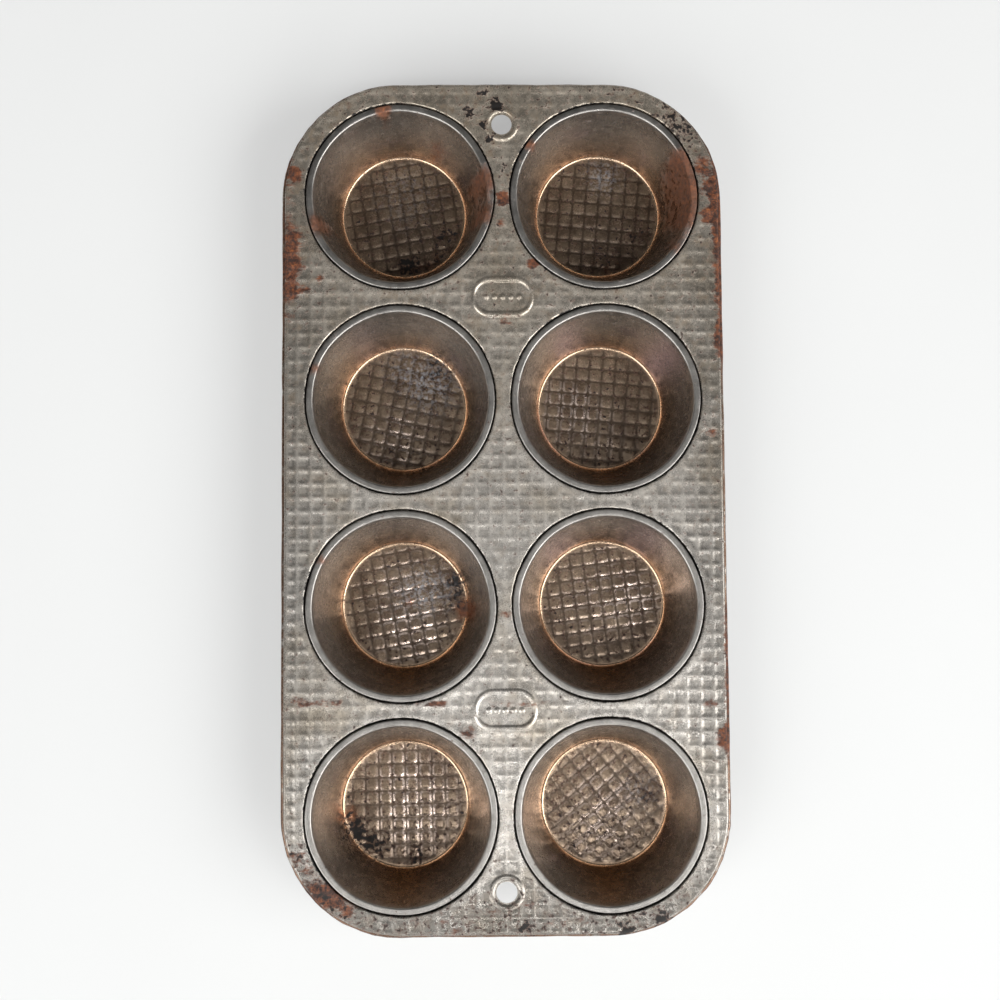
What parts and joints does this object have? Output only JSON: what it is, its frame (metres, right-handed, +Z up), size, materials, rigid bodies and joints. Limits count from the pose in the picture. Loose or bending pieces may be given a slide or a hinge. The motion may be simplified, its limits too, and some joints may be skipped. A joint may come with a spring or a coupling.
{
  "type": "muffin tin",
  "caption": "Rectangular muffin tin with rounded corners: deep-drawn round cups seamed into a pressed sheet frame with a curled edge, hang holes and blank plates.",
  "frame": {"origin": "middle of the tin's footprint, in the plane that the undersides of the cups' floors stand on", "axes": "+X across the tin, +Y along its length, +Z up out of the cups' mouths"},
  "size_m": [0.185, 0.3556, 0.0336],
  "materials": {
    "frame_tinplate": "worn embossed tinplate, satin, grey-brown with rust freckles along the edges",
    "cup_tinplate": "heat-stained tinplate, satin walls, bright copper-tinted floor corners, dark baked-on residue"
  },
  "bodies": {
    "root": {"frame": "frame_tinplate", "cup_1": "cup_tinplate", "cup_2": "cup_tinplate", "cup_3": "cup_tinplate", "cup_4": "cup_tinplate", "cup_5": "cup_tinplate", "cup_6": "cup_tinplate", "cup_7": "cup_tinplate", "cup_8": "cup_tinplate"}
  },
  "joints": []
}
